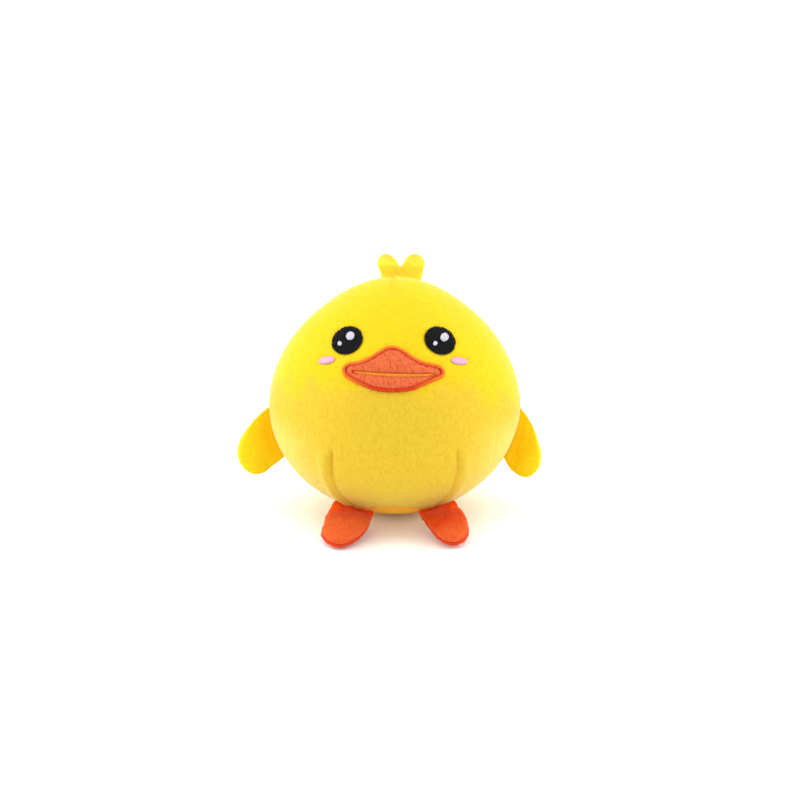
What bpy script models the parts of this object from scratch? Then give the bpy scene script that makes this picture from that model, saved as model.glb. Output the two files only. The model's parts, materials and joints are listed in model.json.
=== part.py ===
# Plush duck: a stuffed ball of four sewn panels, with sewn-on wings, feet and a two-lobed tuft
# Metres, +Z up. The duck faces -Y and its own left side is +X
# It sits leaning back, on a flat under the body and on the tips of both soles
# The origin is the middle of that flat

import math

import bmesh
import bpy
from mathutils import Matrix, Vector

# Body ball, measured from its centre along the toy's own axes
body_half_width = 0.0864
body_half_depth = 0.080
body_top_height = 0.0855
body_bottom_height = 0.0765
# The upper half is a little drawn in, like a gumdrop: 2 would be a true ellipse
body_top_fullness = 1.81
body_bottom_fullness = 2.0
base_panel_radius = 0.034

# Fabric and seams
fabric_thickness = 0.002
seam_gap = 0.0003
seam_tuck = 0.0009
seam_reach = 0.004
flat_depth = 0.0005

# Darts in the front panel. The forehead's starts at a share of the body's upper half
dart_tuck = 0.0008
belly_dart_deg = 38.0
belly_dart_top = -0.033
forehead_dart_bottom_share = 0.8187

# Embroidery and applique. Heights on the face are shares of the body's upper half
stitch_thickness = 0.0010
beak_thickness = 0.0012
beak_half_width = 0.0330
beak_bottom_share = 0.0737
beak_height = 0.0300
beak_border_width = 0.0026
mouth_half_length = 0.0262
mouth_height_share = 0.2222
mouth_sag = 0.0012
mouth_width = 0.0026
eye_spread = 0.0298
eye_height_share = 0.462
eye_half_length = 0.0102
eye_half_width = 0.0087
eye_tilt_deg = 30.0
glint_large_radius = 0.0028
glint_small_radius = 0.0014
cheek_spread = 0.0432
cheek_height_share = 0.3146
cheek_half_length = 0.0055
cheek_half_width = 0.0026
cheek_tilt_deg = 12.0

# Wings, sewn into the side seams
wing_root_top = -0.0034
wing_root_bottom = -0.0381
wing_reach = 0.0250
wing_half_thickness = 0.0090
# Feet, sewn in where the front panel meets the base panel
foot_seam_deg = 53.0
foot_splay_deg = 13.0
foot_droop_deg = 28.0
foot_root_width = 0.0280
foot_half_width = 0.0163
foot_length = 0.0415
foot_top_thickness = 0.0095
foot_sole_thickness = 0.0080
# Tuft, sewn into the top seam a little to one side
tuft_sideways = 0.0046
tuft_root_width = 0.0260
tuft_half_width = 0.0168
tuft_height = 0.0150
tuft_half_thickness = 0.0055
tuft_crease_half_width = 0.0030
# Every limb is flat where it is sewn on
root_half_thickness = 0.0015
root_allowance = 0.0030
root_limit = 0.0200

# Outlines by hand, as shares of the sizes they follow
beak_outline_shares = [
    (0.00, 1.00),
    (0.22, 0.89),
    (0.42, 0.73),
    (0.66, 0.62),
    (0.85, 0.60),
    (0.97, 0.50),
    (0.97, 0.34),
    (0.80, 0.20),
    (0.50, 0.07),
    (0.20, 0.00),
]
wing_outline_shares = [
    (-0.50, 0.00),
    (-0.37, 0.28),
    (-0.18, 0.62),
    (0.02, 0.89),
    (0.24, 1.00),
    (0.50, 0.97),
    (0.68, 0.80),
    (0.73, 0.52),
    (0.64, 0.22),
    (0.50, 0.00),
]
foot_outline_shares = [
    (-1.03, 0.22),
    (-1.05, 0.45),
    (-0.92, 0.72),
    (-0.60, 0.93),
    (-0.10, 1.00),
    (0.45, 0.96),
    (0.82, 0.78),
    (1.00, 0.50),
    (1.02, 0.22),
]
tuft_outline_shares = [
    (-0.93, 0.30),
    (-1.00, 0.58),
    (-0.88, 0.86),
    (-0.58, 1.00),
    (-0.28, 0.90),
    (-0.11, 0.66),
    (0.00, 0.40),
    (0.11, 0.66),
    (0.28, 0.90),
    (0.60, 1.00),
    (0.90, 0.86),
    (1.00, 0.58),
    (0.92, 0.30),
]
tuft_crease_share = 0.45
tuft_middle_share = 0.26
deepest_inset_share = 0.60
seam_sink_share = 0.85
root_ramp_share = 0.52
large_glint_shares = (0.24, 0.25)
small_glint_shares = (-0.42, -0.30)
border_round_share = 0.55

# How finely each surface is divided
station_step_deg = 13.0
body_top_row_deg = 84.0
base_rings = 4
lobe_rings = 4
free_rim_steps = 18
root_rim_steps = 6
beak_rim_steps = 20
beak_rings = 4
oval_rim_steps = 20
oval_rings = 3
dot_rim_steps = 12
dot_rings = 2
mouth_steps = 16
solve_steps = 40
sharp_edge_deg = 50.0
mouth_end_power = 8
printed_digits = 6
steepest_lean_deg = 40.0

yellow = (0.97, 0.70, 0.03, 1.0)
base_yellow = (0.86, 0.56, 0.03, 1.0)
wing_yellow = (1.0, 0.60, 0.01, 1.0)
foot_orange = (0.87, 0.10, 0.02, 1.0)
sole_red = (0.60, 0.03, 0.01, 1.0)
beak_salmon = (0.94, 0.16, 0.06, 1.0)
border_orange = (0.84, 0.12, 0.02, 1.0)
mouth_gold = (0.90, 0.35, 0.03, 1.0)
eye_black = (0.005, 0.005, 0.009, 1.0)
glint_lilac = (0.76, 0.73, 0.86, 1.0)
cheek_pink = (0.86, 0.38, 0.70, 1.0)
stuffing_white = (0.90, 0.90, 0.88, 1.0)


# General helpers


def fade(share):
    share = min(1.0, max(0.0, share))
    return share * share * (3 - 2 * share)


def solve(function, low, high):
    for _ in range(solve_steps):
        middle = (low + high) / 2
        if function(middle) < 0:
            low = middle
        else:
            high = middle
    return (low + high) / 2


def curve_through(points, steps, closed):
    # A smooth curve through hand-placed points, evenly stepped from the first to the last
    count = len(points)
    spans = count if closed else count - 1
    result = []
    for step in range(steps if closed else steps + 1):
        place = step * spans / steps
        span = min(int(place), spans - 1)
        t = place - span
        near = []
        for offset in (-1, 0, 1, 2):
            index = span + offset
            index = index % count if closed else min(max(index, 0), count - 1)
            near.append(Vector(points[index]))
        before, start, end, after = near
        result.append(
            start
            + (end - before) * (t / 2)
            + (before * 2 - start * 5 + end * 4 - after) * (t * t / 2)
            + (start * 3 - before - end * 3 + after) * (t * t * t / 2)
        )
    return result


def stations(marks, reach, step):
    # Angles from the first mark to the last, with a close pair at the side of every mark
    result = []
    for start, end in zip(marks, marks[1:]):
        inner_start = start + reach
        inner_end = end - reach
        spans = max(1, math.ceil((inner_end - inner_start) / step))
        result.append(start)
        for index in range(spans + 1):
            result.append(inner_start + (inner_end - inner_start) * index / spans)
    result.append(marks[-1])
    return result


def make_material(name, colour, roughness):
    material = bpy.data.materials.new(name)
    material.use_nodes = True
    shader = material.node_tree.nodes["Principled BSDF"]
    shader.inputs["Base Color"].default_value = colour
    shader.inputs["Roughness"].default_value = roughness
    shader.inputs["Metallic"].default_value = 0.0
    material.diffuse_color = colour
    return material


def make_object(name, mesh_data, colour, parent, roughness=0.95):
    bmesh.ops.recalc_face_normals(mesh_data, faces=mesh_data.faces)
    mesh = bpy.data.meshes.new(name)
    mesh_data.to_mesh(mesh)
    mesh_data.free()
    mesh.shade_smooth()
    mesh.set_sharp_from_angle(angle=math.radians(sharp_edge_deg))
    thing = bpy.data.objects.new(name, mesh)
    thing.data.materials.append(make_material(name, colour, roughness))
    bpy.context.scene.collection.objects.link(thing)
    thing.parent = parent
    return thing


def make_empty(name, matrix, parent, size):
    empty = bpy.data.objects.new(name, None)
    empty.empty_display_size = size
    bpy.context.scene.collection.objects.link(empty)
    empty.parent = parent
    empty.matrix_local = matrix
    return empty


# Sheets of points and the walls that join two of them into one closed piece


def fan(mesh, rim, point):
    tip = mesh.verts.new(point)
    for k in range(len(rim)):
        mesh.faces.new((rim[k], rim[(k + 1) % len(rim)], tip))


def ring_sheet(mesh, rings, middle):
    # Closed rings from the rim inwards, and a fan round the middle point
    rows = []
    for ring in rings:
        rows.append([mesh.verts.new(point) for point in ring])
    for outer, inner in zip(rows, rows[1:]):
        for k in range(len(outer)):
            after = (k + 1) % len(outer)
            mesh.faces.new((outer[k], outer[after], inner[after], inner[k]))
    fan(mesh, rows[-1], middle)
    return rows[0]


def row_sheet(mesh, rows, pole):
    # Open rows that narrow to one pole point. The rim runs along the first row and both sides
    lines = []
    for row in rows:
        lines.append([mesh.verts.new(point) for point in row])
    for low, high in zip(lines, lines[1:]):
        for k in range(len(low) - 1):
            mesh.faces.new((low[k], low[k + 1], high[k + 1], high[k]))
    tip = mesh.verts.new(pole)
    last = lines[-1]
    for k in range(len(last) - 1):
        mesh.faces.new((last[k], last[k + 1], tip))
    up_side = [line[-1] for line in lines[1:]]
    down_side = [line[0] for line in reversed(lines[1:])]
    return lines[0] + up_side + [tip] + down_side


def wall_between(mesh, one_rim, other_rim):
    for k in range(len(one_rim)):
        after = (k + 1) % len(one_rim)
        mesh.faces.new((one_rim[k], one_rim[after], other_rim[after], other_rim[k]))


# The body's surface, in the toy's own axes with the origin at the ball's centre


def half_of(height):
    if height >= 0:
        return body_top_height, body_top_fullness
    return body_bottom_height, body_bottom_fullness


def width_share(height):
    tall, fullness = half_of(height)
    share = min(1.0, abs(height) / tall)
    return (1 - share**fullness) ** (1 / fullness)


def body_slope(point):
    # How far past the surface a point lies, as a share, and how fast that share grows
    tall, fullness = half_of(point.z)
    across = math.hypot(point.x / body_half_width, point.y / body_half_depth)
    up = abs(point.z) / tall
    size = (across**fullness + up**fullness) ** (1 / fullness)
    sideways = across ** (fullness - 2) if across > 0 else 0
    slope = Vector(
        (
            sideways * point.x / body_half_width**2,
            sideways * point.y / body_half_depth**2,
            math.copysign(up ** (fullness - 1) / tall, point.z),
        )
    )
    return size - 1, slope * size ** (1 - fullness)


def body_normal(point):
    return body_slope(point)[1].normalized()


def body_clearance(point):
    past, slope = body_slope(point)
    return past / slope.length


def body_point(azimuth, latitude, lift):
    # Azimuth 0 is the front, and the duck's left is positive. Both angles are in degrees
    turn = math.radians(azimuth)
    rise = math.radians(latitude)
    tall, fullness = half_of(latitude)
    wide = max(0.0, math.cos(rise)) ** (2 / fullness)
    up = abs(math.sin(rise)) ** (2 / fullness)
    point = Vector(
        (
            body_half_width * wide * math.sin(turn),
            -body_half_depth * wide * math.cos(turn),
            math.copysign(tall * up, latitude),
        )
    )
    return point + body_normal(point) * lift


def face_point(across, height, lift):
    # The point of the front that lies straight behind a place seen from the front
    deep = width_share(height) ** 2 - (across / body_half_width) ** 2
    point = Vector((across, -body_half_depth * math.sqrt(max(0.0, deep)), height))
    return point + body_normal(point) * lift


beak_bottom = body_top_height * beak_bottom_share
mouth_height = body_top_height * mouth_height_share
eye_height = body_top_height * eye_height_share
cheek_height = body_top_height * cheek_height_share
forehead_dart_bottom = body_top_height * forehead_dart_bottom_share
base_latitude = -math.degrees(math.acos(base_panel_radius / body_half_width))
seam_reach_deg = math.degrees(seam_reach / body_half_width)
base_seam_height = -body_bottom_height * math.sin(math.radians(-base_latitude))
seam_sink = seam_tuck * seam_sink_share
mid_gap = seam_gap / 2
mid_gap_deg = math.degrees(mid_gap / body_bottom_height)


def dip(distance, depth):
    # Fabric rounds down into a seam over a short way on either side
    return depth * (1 - min(1.0, abs(distance) / seam_reach)) ** 2


def outer_lift(azimuth, latitude):
    point = body_point(azimuth, latitude, 0)
    from_base = math.radians(latitude - base_latitude) * body_bottom_height
    depth = max(dip(point.y, seam_tuck), dip(from_base, seam_tuck))
    if point.y > 0:
        depth = max(depth, dip(point.x, seam_tuck))
        return -depth
    forehead_share = (point.z - forehead_dart_bottom) / (body_top_height - forehead_dart_bottom)
    depth = max(depth, dip(point.x, dart_tuck * fade(forehead_share)))
    belly_share = (belly_dart_top - point.z) / (belly_dart_top - base_seam_height)
    off_dart = math.radians(abs(azimuth) - belly_dart_deg)
    off_dart *= body_half_width * width_share(point.z)
    depth = max(depth, dip(off_dart, dart_tuck * fade(belly_share)))
    return -depth


def inner_lift(azimuth, latitude):
    return -fabric_thickness


front_marks = [-90.0, -belly_dart_deg, 0.0, belly_dart_deg, 90.0]
front_azimuths = stations(front_marks, seam_reach_deg, station_step_deg)
left_back_azimuths = stations([90.0, 180.0], seam_reach_deg, station_step_deg)
right_back_azimuths = [azimuth + 90.0 for azimuth in left_back_azimuths]
panel_start = base_latitude + mid_gap_deg
panel_latitudes = stations([panel_start, body_top_row_deg], seam_reach_deg, station_step_deg)


def panel_rows(azimuths, lift_of, keep_clear):
    rows = []
    for latitude in panel_latitudes:
        row = []
        for azimuth in azimuths:
            point = body_point(azimuth, latitude, lift_of(azimuth, latitude))
            row.append(keep_clear(point))
        rows.append(row)
    return rows, keep_clear(body_point(azimuths[0], 90.0, lift_of(azimuths[0], 90.0)))


def make_panel(name, azimuths, keep_clear, frame):
    mesh = bmesh.new()
    outside = row_sheet(mesh, *panel_rows(azimuths, outer_lift, keep_clear))
    inside = row_sheet(mesh, *panel_rows(azimuths, inner_lift, keep_clear))
    wall_between(mesh, outside, inside)
    return make_object(name, mesh, yellow, frame)


def keep_front(point):
    return Vector((point.x, min(point.y, -mid_gap), point.z))


def keep_left_back(point):
    return Vector((max(point.x, mid_gap), max(point.y, mid_gap), point.z))


def keep_right_back(point):
    return Vector((min(point.x, -mid_gap), max(point.y, mid_gap), point.z))


def ring_azimuths():
    # Once round the body, leaving out the angles that repeat where panels meet
    return front_azimuths[:-1] + left_back_azimuths[:-1] + right_back_azimuths[:-1]


def base_latitudes():
    # From the base seam inwards to just short of the middle
    inner = base_latitude - seam_reach_deg
    steps = [base_latitude - mid_gap_deg]
    for index in range(base_rings):
        steps.append(inner + (-90.0 - inner) * index / base_rings)
    return steps


def make_base_panel(frame):
    mesh = bmesh.new()
    rims = []
    for lift_of in (outer_lift, inner_lift):
        rings = []
        for latitude in base_latitudes():
            rings.append(
                [body_point(turn, latitude, base_lift(lift_of, latitude)) for turn in ring_azimuths()]
            )
        rims.append(ring_sheet(mesh, rings, body_point(0, -90.0, base_lift(lift_of, -90.0))))
    wall_between(mesh, *rims)
    return make_object("body_base_panel", mesh, base_yellow, frame)


def base_lift(lift_of, latitude):
    # Only its own round seam draws the base panel in
    if lift_of is inner_lift:
        return -fabric_thickness
    from_base = math.radians(base_latitude - latitude) * body_bottom_height
    return -dip(from_base, seam_tuck)


def make_body_stuffing(frame):
    mesh = bmesh.new()
    lift = -fabric_thickness - seam_gap
    rings = []
    for latitude in reversed(base_latitudes()[:0:-1] + panel_latitudes):
        rings.append([body_point(turn, latitude, lift) for turn in ring_azimuths()])
    top_rim = ring_sheet(mesh, rings, body_point(0, -90.0, lift))
    fan(mesh, top_rim, body_point(0, 90.0, lift))
    return make_object("body_stuffing", mesh, stuffing_white, frame)


# Embroidery and applique, laid on the front of the body


def patch_sheet(mesh, outline, middle, shares, lift_of):
    rings = []
    for share in shares:
        ring = []
        for place in outline:
            spot = middle + (place - middle) * share
            ring.append(face_point(spot.x, spot.y, lift_of(share)))
        rings.append(ring)
    return ring_sheet(mesh, rings, face_point(middle.x, middle.y, lift_of(0)))


def make_patch(name, outline, middle, rings, low, thickness, colour, frame):
    mesh = bmesh.new()

    def top_lift(share):
        return low + thickness * (border_round_share if share == 1 else 1)

    shares = [1 - index / rings for index in range(rings)]
    shares.insert(1, 1 - 1 / (2 * rings))
    top = patch_sheet(mesh, outline, middle, shares, top_lift)
    bottom = patch_sheet(mesh, outline, middle, shares, lambda share: low)
    wall_between(mesh, top, bottom)
    return make_object(name, mesh, colour, frame, 0.6)


def oval(middle, half_length, half_width, tilt_deg, steps):
    turn = Matrix.Rotation(math.radians(tilt_deg), 2)
    points = []
    for step in range(steps):
        angle = 2 * math.pi * step / steps
        points.append(
            middle + turn @ Vector((half_length * math.cos(angle), half_width * math.sin(angle)))
        )
    return points


def mirrored(shares):
    # The other half of an outline that starts on the middle line
    other = [(-across, up) for across, up in reversed(shares) if across > 0]
    return shares + other


def beak_outline(inset):
    points = []
    for across, up in mirrored(beak_outline_shares):
        points.append((across * beak_half_width, beak_bottom + up * beak_height))
    outline = curve_through(points, 2 * beak_rim_steps, True)
    moved = []
    for k, place in enumerate(outline):
        along = outline[(k + 1) % len(outline)] - outline[k - 1]
        inward = Vector((along.y, -along.x)).normalized()
        moved.append(place + inward * inset)
    return moved


def make_beak(frame):
    middle = Vector((0, beak_bottom + beak_height / 2))
    inner = beak_outline(beak_border_width + seam_gap)
    make_patch("beak_patch", inner, middle, beak_rings, seam_gap, beak_thickness, beak_salmon, frame)
    mesh = bmesh.new()
    low = seam_gap
    high = seam_gap + beak_thickness + stitch_thickness / 2
    edge = seam_gap + beak_thickness * border_round_share
    insets = [0, 0, beak_border_width / 4, beak_border_width * 3 / 4, beak_border_width, beak_border_width]
    lifts = [low, edge, high, high, edge, low]
    loops = []
    for inset, lift in zip(insets, lifts):
        loops.append([mesh.verts.new(face_point(p.x, p.y, lift)) for p in beak_outline(inset)])
    for k, loop in enumerate(loops):
        wall_between(mesh, loop, loops[(k + 1) % len(loops)])
    make_object("beak_border", mesh, border_orange, frame, 0.5)


def make_mouth(frame):
    # A stitched band across the beak patch, hanging a little in its middle
    low = seam_gap + beak_thickness + seam_gap
    mesh = bmesh.new()
    rows = []
    for edge, lift in ((-1, low), (-1, low + stitch_thickness / 2), (0, low + stitch_thickness),
                       (1, low + stitch_thickness / 2), (1, low)):
        row = []
        for step in range(mouth_steps + 1):
            share = 2 * step / mouth_steps - 1
            height = mouth_height - mouth_sag * (1 - share * share)
            taper = math.sqrt(max(0.0, 1 - share**mouth_end_power)) if abs(share) < 1 else border_round_share
            height += edge * mouth_width / 2 * taper
            row.append(mesh.verts.new(face_point(share * mouth_half_length, height, lift)))
        rows.append(row)
    for row, after in zip(rows, rows[1:] + rows[:1]):
        for k in range(mouth_steps):
            mesh.faces.new((row[k], row[k + 1], after[k + 1], after[k]))
    mesh.faces.new([row[0] for row in rows])
    mesh.faces.new([row[-1] for row in rows])
    make_object("mouth_line", mesh, mouth_gold, frame, 0.5)


def make_eye(side, sign, frame):
    middle = Vector((sign * eye_spread, eye_height))
    tilt = -sign * eye_tilt_deg
    outline = oval(middle, eye_half_length, eye_half_width, tilt, oval_rim_steps)
    name = f"eye_{side}"
    make_patch(name, outline, middle, oval_rings, seam_gap, stitch_thickness, eye_black, frame)
    low = seam_gap + stitch_thickness + seam_gap
    glints = (
        ("large", large_glint_shares, glint_large_radius),
        ("small", small_glint_shares, glint_small_radius),
    )
    for size, shares, radius in glints:
        spot = middle + Vector((shares[0] * eye_half_length, shares[1] * eye_half_width))
        dot = oval(spot, radius, radius, 0, dot_rim_steps)
        glint_name = f"{name}_glint_{size}"
        thin = stitch_thickness / 2
        make_patch(glint_name, dot, spot, dot_rings, low, thin, glint_lilac, frame)


def make_cheek(side, sign, frame):
    middle = Vector((sign * cheek_spread, cheek_height))
    outline = oval(middle, cheek_half_length, cheek_half_width, -sign * cheek_tilt_deg, oval_rim_steps)
    thin = stitch_thickness / 2
    make_patch(f"cheek_{side}", outline, middle, dot_rings, seam_gap, thin, cheek_pink, frame)


# Limbs: padded lobes of two panels and a stuffing, flat at the root where they are sewn on
# Each is made in its hinge's own axes: x along the hinge, y outwards, z through its thickness


def root_clearance(sink):
    # From the body's surface to the middle of the half-round sewn edge
    return root_half_thickness + seam_gap - sink


def place_hinge(surface_point, along, outwards, sink):
    x = along.normalized()
    z = x.cross(outwards).normalized()
    y = z.cross(x)
    lifted = surface_point + body_normal(surface_point) * root_clearance(sink)
    return Matrix.Translation(lifted) @ Matrix((x, y, z)).transposed().to_4x4()


def root_edge(hinge, start, end, sink):
    # The sewn edge follows the body: it is half round, and this is its outermost line
    clear = root_clearance(sink)
    points = []
    for step in range(root_rim_steps + 1):
        across = start + (end - start) * step / root_rim_steps

        def past(out, across=across):
            return body_clearance(hinge @ Vector((across, out, 0))) - clear

        points.append(Vector((across, solve(past, -root_limit, root_limit) - root_half_thickness)))
    return points


def limb_rim(hinge, free_points, root_start, root_end, sink):
    # The free edge from one end of the root to the other, then back along the root
    root = root_edge(hinge, root_end, root_start, sink)
    free_points = [root[-1]] + free_points + [root[0]]
    free = curve_through(free_points, free_rim_steps, False)
    rim = free + root[1:-1]
    is_free = [True] * len(free) + [False] * (len(root) - 2)
    return rim, is_free


def make_limb_shape(hinge, rim, is_free, length, middle_share, crease):
    middle = Vector((sum(p.x for p in rim) / len(rim), length * middle_share))
    return {"hinge": hinge, "rim": rim, "free": is_free, "middle": middle, "length": length,
            "crease": crease}


def inset_rim(shape, clearance):
    # Straight towards the middle: by the fabric's thickness, or past the sewn edge at the root
    moved = []
    lowest = root_allowance - root_half_thickness + clearance
    for place in shape["rim"]:
        towards = shape["middle"] - place
        share = (fabric_thickness + clearance) / towards.length
        if place.y < lowest:
            share = max(share, (lowest - place.y) / towards.y)
        share = min(share, deepest_inset_share + clearance / towards.length)
        moved.append(place + towards * share)
    return moved


def round_root(inwards):
    # How thick the half-round sewn edge is, a way in from its outermost line
    inwards = min(root_half_thickness, max(0.0, inwards))
    return math.sqrt(inwards * (2 * root_half_thickness - inwards))


def lobe_point(shape, spot, swell, crown, least):
    # A place on one padded face: thin at the root, full past it, and creased on the tuft
    ramp = fade(spot.y / (shape["length"] * root_ramp_share))
    if shape["crease"]:
        ramp *= 1 - tuft_crease_share * math.exp(-((spot.x / tuft_crease_half_width) ** 2))
    return Vector((spot.x, spot.y, least + (crown - least) * swell * ramp))


def lobe_rows(shape, rim, crown, edge, outermost):
    # Rings from the rim to the middle of one padded face. The outermost has a half-round edge
    middle = shape["middle"]
    rings = []
    for step in range(lobe_rings):
        angle = math.pi / 2 * (1 - step / lobe_rings)
        ring = []
        for place, free in zip(rim, shape["free"]):
            spot = middle + (place - middle) * math.sin(angle)
            swell = math.cos(angle) if free or not outermost else 1.0
            inwards = (spot - place).length if free else spot.y - place.y
            least = max(edge, round_root(inwards)) if outermost else edge
            ring.append(lobe_point(shape, spot, swell, crown, least))
        rings.append(ring)
    least = root_half_thickness if outermost else edge
    return rings, lobe_point(shape, middle, 1, crown, least)


def flip(rings_and_top, sign):
    rings, top = rings_and_top
    turned = []
    for ring in rings:
        turned.append([Vector((p.x, p.y, p.z * sign)) for p in ring])
    return turned, Vector((top.x, top.y, top.z * sign))


def make_limb_panel(name, shape, crown, sign, colour, parent):
    mesh = bmesh.new()
    outer = lobe_rows(shape, shape["rim"], crown, mid_gap, True)
    inner_rim = inset_rim(shape, 0)
    inner = lobe_rows(shape, inner_rim, crown - fabric_thickness, mid_gap, False)
    outside = ring_sheet(mesh, *flip(outer, sign))
    inside = ring_sheet(mesh, *flip(inner, sign))
    wall_between(mesh, outside, inside)
    return make_object(name, mesh, colour, parent)


def make_limb_stuffing(name, shape, crowns, parent):
    mesh = bmesh.new()
    rim = inset_rim(shape, seam_gap)
    lost = fabric_thickness + seam_gap
    faces = []
    for crown, sign in zip(crowns, (1, -1)):
        rings, top = flip(lobe_rows(shape, rim, crown - lost, 0, False), sign)
        faces.append((rings, top))
    edge = [mesh.verts.new(point) for point in faces[0][0][0]]
    for rings, top in faces:
        inner_edge = ring_sheet(mesh, rings[1:], top)
        wall_between(mesh, edge, inner_edge)
    return make_object(name, mesh, stuffing_white, parent)


def wing_shape(sign):
    middle_height = (wing_root_top + wing_root_bottom) / 2
    side = Vector((sign * body_half_width * width_share(middle_height), 0, middle_height))
    normal = body_normal(side)
    along = Vector((-sign * normal.z, 0, sign * normal.x))
    if along.z > 0:
        along = -along
    hinge = place_hinge(side, along, normal, seam_sink)
    half_root = (wing_root_top - wing_root_bottom) / 2
    root_length = 2 * half_root
    free = []
    for across, out in wing_outline_shares[1:-1]:
        free.append(Vector((across * root_length, out * wing_reach)))
    rim, is_free = limb_rim(hinge, free, -half_root, half_root, seam_sink)
    return make_limb_shape(hinge, rim, is_free, wing_reach, root_ramp_share, False)


def foot_shape(sign):
    seam = body_point(sign * foot_seam_deg, base_latitude, 0)
    normal = body_normal(seam)
    droop = math.radians(foot_droop_deg)
    splay = math.radians(foot_splay_deg)
    forward = Vector(
        (sign * math.sin(splay) * math.cos(droop), -math.cos(splay) * math.cos(droop), -math.sin(droop))
    )
    along = forward.cross(normal)
    if along.x > 0:
        along = -along
    hinge = place_hinge(seam, along, forward, 0)
    free = []
    for across, out in foot_outline_shares:
        free.append(Vector((across * foot_half_width, out * foot_length)))
    if sign > 0:
        free = [Vector((-p.x, p.y)) for p in reversed(free)]
    rim, is_free = limb_rim(hinge, free, -foot_root_width / 2, foot_root_width / 2, 0)
    return make_limb_shape(hinge, rim, is_free, foot_length, root_ramp_share, False)


def tuft_shape():
    top = Vector((tuft_sideways, 0, body_top_height))
    top.z *= (1 - (tuft_sideways / body_half_width) ** body_top_fullness) ** (1 / body_top_fullness)
    hinge = place_hinge(top, Vector((1, 0, 0)), Vector((0, 0, 1)), seam_sink)
    free = []
    for across, out in tuft_outline_shares:
        free.append(Vector((across * tuft_half_width, out * tuft_height)))
    half_root = tuft_root_width / 2
    rim, is_free = limb_rim(hinge, free, -half_root, half_root, seam_sink)
    return make_limb_shape(hinge, rim, is_free, tuft_height, tuft_middle_share, True)


# The pose at rest: the toy tips back until the soles reach the ground that the ball sits on


def ball_rest_height(lean):
    return math.hypot(body_half_depth * math.sin(lean), body_bottom_height * math.cos(lean))


def sole_rest_height(lean):
    lowest = 0
    for sign in (-1, 1):
        shape = foot_shape(sign)
        rows = lobe_rows(shape, shape["rim"], foot_sole_thickness, mid_gap, True)
        rings, _ = flip(rows, -1)
        for ring in rings:
            for point in ring:
                spot = shape["hinge"] @ point
                lowest = min(lowest, spot.z * math.cos(lean) - spot.y * math.sin(lean))
    return lowest


def rest_frame():
    lean = solve(
        lambda angle: sole_rest_height(angle) + ball_rest_height(angle),
        0,
        math.radians(steepest_lean_deg),
    )
    rest = ball_rest_height(lean)
    touch = (body_half_depth**2 - body_bottom_height**2) * math.sin(lean) * math.cos(lean) / rest
    turn = Matrix.Rotation(-lean, 4, "X")
    return Matrix.Translation((0, -touch, rest - flat_depth)) @ turn, lean


def cut_flat(things, frame_size):
    # Everything that stands on the ground is flat there
    mesh = bmesh.new()
    bmesh.ops.create_cube(mesh, size=frame_size)
    cutter = make_object("ground_cutter", mesh, base_yellow, None)
    cutter.location = (0, 0, -frame_size / 2)
    cutter.hide_render = True
    cutter.display_type = "WIRE"
    for thing in things:
        flat = thing.modifiers.new("flat", "BOOLEAN")
        flat.object = cutter
        flat.operation = "DIFFERENCE"
        flat.solver = "EXACT"


def make_limb(name, shape, parts, stuffing_name, frame):
    hinge = make_empty(f"{name}_hinge", shape["hinge"], frame, root_allowance)
    made = []
    for part_name, crown, sign, colour in parts:
        made.append(make_limb_panel(part_name, shape, crown, sign, colour, hinge))
    crowns = [part[1] for part in parts]
    make_limb_stuffing(stuffing_name, shape, crowns, hinge)
    return made


def report_hinge(name, frame_matrix, shape):
    world = frame_matrix @ shape["hinge"]
    place = [round(value, printed_digits) for value in world.to_translation()]
    along = [round(value, printed_digits) for value in world.to_3x3() @ Vector((1, 0, 0))]
    print("hinge", name, "at", place, "along", along)


def main():
    for thing in list(bpy.data.objects):
        bpy.data.objects.remove(thing)
    frame_matrix, lean = rest_frame()
    frame = make_empty("body_frame", frame_matrix, None, body_half_width)
    print("lean in degrees", round(math.degrees(lean), 3))

    make_panel("body_front_panel", front_azimuths, keep_front, frame)
    make_panel("body_back_panel_left", left_back_azimuths, keep_left_back, frame)
    make_panel("body_back_panel_right", right_back_azimuths, keep_right_back, frame)
    base = make_base_panel(frame)
    make_body_stuffing(frame)

    make_beak(frame)
    make_mouth(frame)
    for side, sign in (("left", 1), ("right", -1)):
        make_eye(side, sign, frame)
        make_cheek(side, sign, frame)

    grounded = [base]
    for side, sign in (("left", 1), ("right", -1)):
        wing = wing_shape(sign)
        report_hinge(f"wing_{side}", frame_matrix, wing)
        panels = [
            (f"wing_{side}_front_panel", wing_half_thickness, sign, wing_yellow),
            (f"wing_{side}_back_panel", wing_half_thickness, -sign, wing_yellow),
        ]
        make_limb(f"wing_{side}", wing, panels, f"wing_{side}_stuffing", frame)

        foot = foot_shape(sign)
        report_hinge(f"foot_{side}", frame_matrix, foot)
        panels = [
            (f"foot_{side}_top_panel", foot_top_thickness, 1, foot_orange),
            (f"foot_{side}_sole_panel", foot_sole_thickness, -1, sole_red),
        ]
        grounded += make_limb(f"foot_{side}", foot, panels, f"foot_{side}_stuffing", frame)

    tuft = tuft_shape()
    report_hinge("tuft", frame_matrix, tuft)
    panels = [
        ("tuft_front_panel", tuft_half_thickness, 1, wing_yellow),
        ("tuft_back_panel", tuft_half_thickness, -1, wing_yellow),
    ]
    make_limb("tuft", tuft, panels, "tuft_stuffing", frame)
    cut_flat(grounded, 2 * (body_half_width + body_half_depth))


main()
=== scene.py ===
import json
import math
import random

import bpy
import numpy as np
from mathutils import Matrix, Vector, noise
from mathutils.bvhtree import BVHTree


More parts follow.
